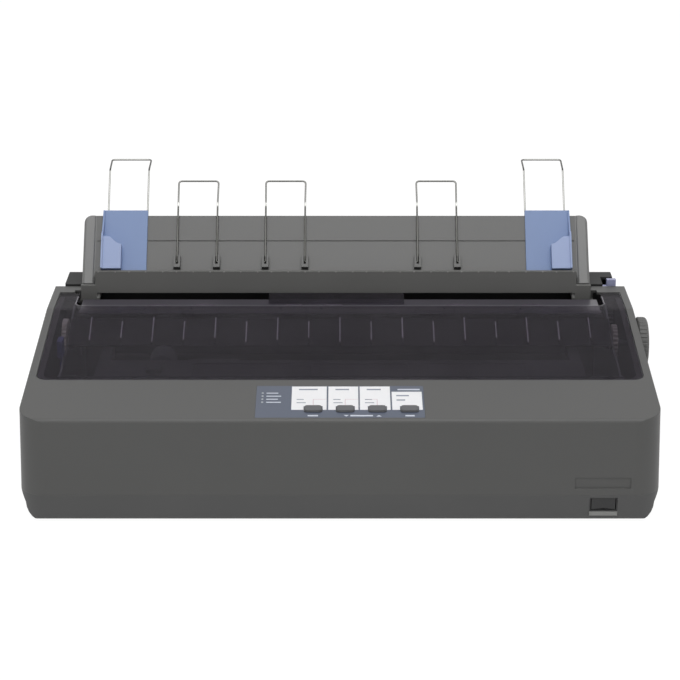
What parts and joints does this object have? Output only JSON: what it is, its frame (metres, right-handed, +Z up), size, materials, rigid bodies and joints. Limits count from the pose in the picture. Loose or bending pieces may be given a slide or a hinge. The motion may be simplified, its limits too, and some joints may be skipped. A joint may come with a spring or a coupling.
{
  "type": "dot matrix printer",
  "caption": "Wide-carriage impact printer with a hinged smoke cover, side knob, sloping control strip, rear sheet guide with wire supports, and a print carriage inside.",
  "frame": {"origin": "on the table under the middle of the printer's overall width and depth, with the knob and wire loops counted", "axes": "+X to the printer's right as its user faces it, +Y to its rear, +Z up"},
  "size_m": [0.641, 0.4242, 0.2541],
  "materials": {
    "case_grey": "fine texture",
    "case_dark": "fine texture",
    "rear_grey": "fine texture",
    "smoke_clear": "smoke tinted",
    "smoke_bar": "smoke tinted",
    "guide_grey": "satin",
    "band_grey": "satin",
    "edge_blue": "satin",
    "wire_grey": "coated",
    "feet_rubber": "matt",
    "platen_rubber": "ground",
    "roller_rubber": "matt",
    "label_blue": "printed film",
    "button_grey": "satin",
    "board_green": "solder mask",
    "supply_tan": "solder mask",
    "switch_black": "satin",
    "sheet_steel": "zinc plated",
    "shaft_steel": "ground",
    "gear_white": "moulded",
    "knob_grey": "satin",
    "motor_grey": "painted",
    "pinion_brass": "machined",
    "mould_black": "moulded",
    "head_alloy": "cast",
    "lever_blue": "moulded",
    "lever_lavender": "moulded",
    "screw_steel": "zinc plated"
  },
  "bodies": {
    "case": {"lower_case": "case_dark", "rubber_feet": "feet_rubber", "upper_housing": "case_grey", "rear_cover": "rear_grey", "guide_base": "band_grey", "tear_off_bar": "smoke_bar", "panel_label": "label_blue", "panel_board": "board_green", "switch_frame": "switch_black", "chassis": "sheet_steel", "side_frame_left": "sheet_steel", "side_frame_right": "sheet_steel", "feed_motor": "motor_grey", "tractor_rail": "shaft_steel", "exit_guide": "mould_black", "carriage_shaft": "shaft_steel", "carriage_rail": "sheet_steel", "timing_belt": "platen_rubber", "carriage_motor": "motor_grey", "ribbon_cartridge": "mould_black", "main_board": "board_green", "power_supply": "supply_tan", "screws": "screw_steel"},
    "printer_cover": {"printer_cover": "smoke_clear"},
    "paper_guide": {"paper_guide": "guide_grey"},
    "edge_guide_left": {"edge_guide_left": "edge_blue"},
    "edge_guide_right": {"edge_guide_right": "edge_blue"},
    "edge_wire_left": {"edge_wire_left": "wire_grey"},
    "edge_wire_right": {"edge_wire_right": "wire_grey"},
    "support_wire_left": {"support_wire_left": "wire_grey"},
    "support_wire_middle": {"support_wire_middle": "wire_grey"},
    "support_wire_right": {"support_wire_right": "wire_grey"},
    "button_1": {"button_1": "button_grey"},
    "button_2": {"button_2": "button_grey"},
    "button_3": {"button_3": "button_grey"},
    "button_4": {"button_4": "button_grey"},
    "power_rocker": {"power_rocker": "switch_black"},
    "platen": {"platen": "platen_rubber", "platen_shaft": "shaft_steel", "platen_gear": "gear_white", "exit_drive_gear": "gear_white", "knob": "knob_grey"},
    "motor_pinion": {"motor_pinion": "pinion_brass"},
    "reduction_gear": {"reduction_gear": "gear_white"},
    "tractor_idler": {"tractor_idler": "gear_white"},
    "tractor_shaft": {"tractor_shaft": "shaft_steel"},
    "tractor_left": {"tractor_left": "mould_black"},
    "tractor_right": {"tractor_right": "mould_black"},
    "sprocket_left": {"sprocket_left": "gear_white"},
    "sprocket_right": {"sprocket_right": "gear_white"},
    "exit_idler_gear": {"exit_idler_gear": "gear_white"},
    "exit_shaft": {"exit_shaft": "roller_rubber"},
    "exit_idlers": {"exit_idlers": "roller_rubber"},
    "carriage": {"carriage": "mould_black", "print_head": "head_alloy"},
    "drive_pulley": {"drive_pulley": "shaft_steel"},
    "idler_pulley": {"idler_pulley": "shaft_steel"},
    "ribbon_knob": {"ribbon_knob": "button_grey"},
    "gap_lever": {"gap_lever": "lever_blue"},
    "release_lever": {"release_lever": "lever_lavender"}
  },
  "joints": [
    {"name": "cover_lift", "type": "hinge", "parent": "case", "child": "printer_cover", "pos_m": [-0.00547, 0.07943, 0.134], "axis": [-1, 0, 0], "range_deg": [0, 75]},
    {"name": "guide_fold", "type": "hinge", "parent": "case", "child": "paper_guide", "pos_m": [-0.00547, 0.09593, 0.1415], "axis": [-1, 0, 0], "range_deg": [0, 25]},
    {"name": "edge_left_slide", "type": "slide", "parent": "paper_guide", "child": "edge_guide_left", "axis": [1, 0, 0], "range_m": [0, 0.027]},
    {"name": "edge_right_slide", "type": "slide", "parent": "paper_guide", "child": "edge_guide_right", "axis": [-1, 0, 0], "range_m": [0, 0.068]},
    {"name": "edge_wire_left_turn", "type": "hinge", "parent": "edge_guide_left", "child": "edge_wire_left", "pos_m": [-0.00547, 0.14378, 0.2031], "axis": [-1, 0, 0], "range_deg": [0, 45]},
    {"name": "edge_wire_right_turn", "type": "hinge", "parent": "edge_guide_right", "child": "edge_wire_right", "pos_m": [-0.00547, 0.14378, 0.2031], "axis": [-1, 0, 0], "range_deg": [0, 45]},
    {"name": "support_wire_left_turn", "type": "hinge", "parent": "paper_guide", "child": "support_wire_left", "pos_m": [-0.00547, 0.10187, 0.16744], "axis": [1, 0, 0], "range_deg": [0, 30]},
    {"name": "support_wire_middle_turn", "type": "hinge", "parent": "paper_guide", "child": "support_wire_middle", "pos_m": [-0.00547, 0.10187, 0.16744], "axis": [1, 0, 0], "range_deg": [0, 30]},
    {"name": "support_wire_right_turn", "type": "hinge", "parent": "paper_guide", "child": "support_wire_right", "pos_m": [-0.00547, 0.10187, 0.16744], "axis": [1, 0, 0], "range_deg": [0, 30]},
    {"name": "button_1_press", "type": "slide", "parent": "case", "child": "button_1", "axis": [0, 0.127, -0.9919], "range_m": [0, 0.0012], "stiffness_N_per_m": 300, "springref_m": -0.001},
    {"name": "button_2_press", "type": "slide", "parent": "case", "child": "button_2", "axis": [0, 0.127, -0.9919], "range_m": [0, 0.0012], "stiffness_N_per_m": 300, "springref_m": -0.001},
    {"name": "button_3_press", "type": "slide", "parent": "case", "child": "button_3", "axis": [0, 0.127, -0.9919], "range_m": [0, 0.0012], "stiffness_N_per_m": 300, "springref_m": -0.001},
    {"name": "button_4_press", "type": "slide", "parent": "case", "child": "button_4", "axis": [0, 0.127, -0.9919], "range_m": [0, 0.0012], "stiffness_N_per_m": 300, "springref_m": -0.001},
    {"name": "power_rock", "type": "hinge", "parent": "case", "child": "power_rocker", "pos_m": [0.25253, -0.20317, 0.0195], "axis": [0, 0, 1], "range_deg": [-6, 6]},
    {"name": "platen_turn", "type": "hinge", "parent": "case", "child": "platen", "pos_m": [-0.00547, 0.01593, 0.105], "axis": [1, 0, 0], "continuous": true},
    {"name": "reduction_turn", "type": "hinge", "parent": "case", "child": "reduction_gear", "pos_m": [-0.00547, 0.02797, 0.06008], "axis": [1, 0, 0], "continuous": true},
    {"name": "pinion_turn", "type": "hinge", "parent": "case", "child": "motor_pinion", "pos_m": [-0.00547, -0.00061, 0.04358], "axis": [1, 0, 0], "continuous": true},
    {"name": "tractor_idler_turn", "type": "hinge", "parent": "case", "child": "tractor_idler", "pos_m": [-0.00547, 0.08573, 0.06937], "axis": [1, 0, 0], "continuous": true},
    {"name": "tractor_shaft_turn", "type": "hinge", "parent": "case", "child": "tractor_shaft", "pos_m": [-0.00547, 0.12793, 0.098], "axis": [1, 0, 0], "continuous": true},
    {"name": "tractor_left_slide", "type": "slide", "parent": "case", "child": "tractor_left", "axis": [1, 0, 0], "range_m": [0, 0.1]},
    {"name": "tractor_right_slide", "type": "slide", "parent": "case", "child": "tractor_right", "axis": [-1, 0, 0], "range_m": [0, 0.1]},
    {"name": "sprocket_left_turn", "type": "hinge", "parent": "tractor_left", "child": "sprocket_left", "pos_m": [-0.00547, 0.12793, 0.098], "axis": [1, 0, 0], "continuous": true},
    {"name": "sprocket_right_turn", "type": "hinge", "parent": "tractor_right", "child": "sprocket_right", "pos_m": [-0.00547, 0.12793, 0.098], "axis": [1, 0, 0], "continuous": true},
    {"name": "exit_idler_turn", "type": "hinge", "parent": "case", "child": "exit_idler_gear", "pos_m": [-0.00547, 0.04546, 0.09966], "axis": [1, 0, 0], "continuous": true},
    {"name": "exit_shaft_turn", "type": "hinge", "parent": "case", "child": "exit_shaft", "pos_m": [-0.00547, 0.06093, 0.118], "axis": [1, 0, 0], "continuous": true},
    {"name": "exit_rollers_turn", "type": "hinge", "parent": "case", "child": "exit_idlers", "pos_m": [-0.00547, 0.06963, 0.1267], "axis": [1, 0, 0], "continuous": true},
    {"name": "carriage_slide", "type": "slide", "parent": "case", "child": "carriage", "axis": [1, 0, 0], "range_m": [0, 0.37]},
    {"name": "drive_pulley_turn", "type": "hinge", "parent": "case", "child": "drive_pulley", "pos_m": [-0.25847, -0.04207, 0.05], "axis": [0, 0, 1], "range_deg": [0, 2651]},
    {"name": "idler_pulley_turn", "type": "hinge", "parent": "case", "child": "idler_pulley", "pos_m": [0.24753, -0.04207, 0.05], "axis": [0, 0, 1], "range_deg": [0, 2651]},
    {"name": "ribbon_knob_turn", "type": "hinge", "parent": "case", "child": "ribbon_knob", "pos_m": [-0.19547, -0.08407, 0.11], "axis": [0, 0, 1], "range_deg": [0, 425]},
    {"name": "gap_lever_turn", "type": "hinge", "parent": "case", "child": "gap_lever", "pos_m": [-0.29647, -0.02707, 0.072], "axis": [1, 0, 0], "range_deg": [-12, 12]},
    {"name": "release_lever_turn", "type": "hinge", "parent": "case", "child": "release_lever", "pos_m": [0.28553, 0.11293, 0.09], "axis": [-1, 0, 0], "range_deg": [0, 14]}
  ],
  "couplings": [
    {"joint": "reduction_turn", "follows": "platen_turn", "ratio": -1.0667},
    {"joint": "pinion_turn", "follows": "platen_turn", "ratio": 2.2857},
    {"joint": "tractor_idler_turn", "follows": "platen_turn", "ratio": 0.66667},
    {"joint": "tractor_shaft_turn", "follows": "platen_turn", "ratio": -1.6},
    {"joint": "sprocket_left_turn", "follows": "platen_turn", "ratio": -1.6},
    {"joint": "sprocket_right_turn", "follows": "platen_turn", "ratio": -1.6},
    {"joint": "exit_idler_turn", "follows": "platen_turn", "ratio": -1.5},
    {"joint": "exit_shaft_turn", "follows": "platen_turn", "ratio": 1.5},
    {"joint": "exit_rollers_turn", "follows": "platen_turn", "ratio": -2.1},
    {"joint": "drive_pulley_turn", "follows": "carriage_slide", "rad_per_m": 125},
    {"joint": "idler_pulley_turn", "follows": "carriage_slide", "rad_per_m": 125},
    {"joint": "ribbon_knob_turn", "follows": "carriage_slide", "rad_per_m": 20}
  ]
}
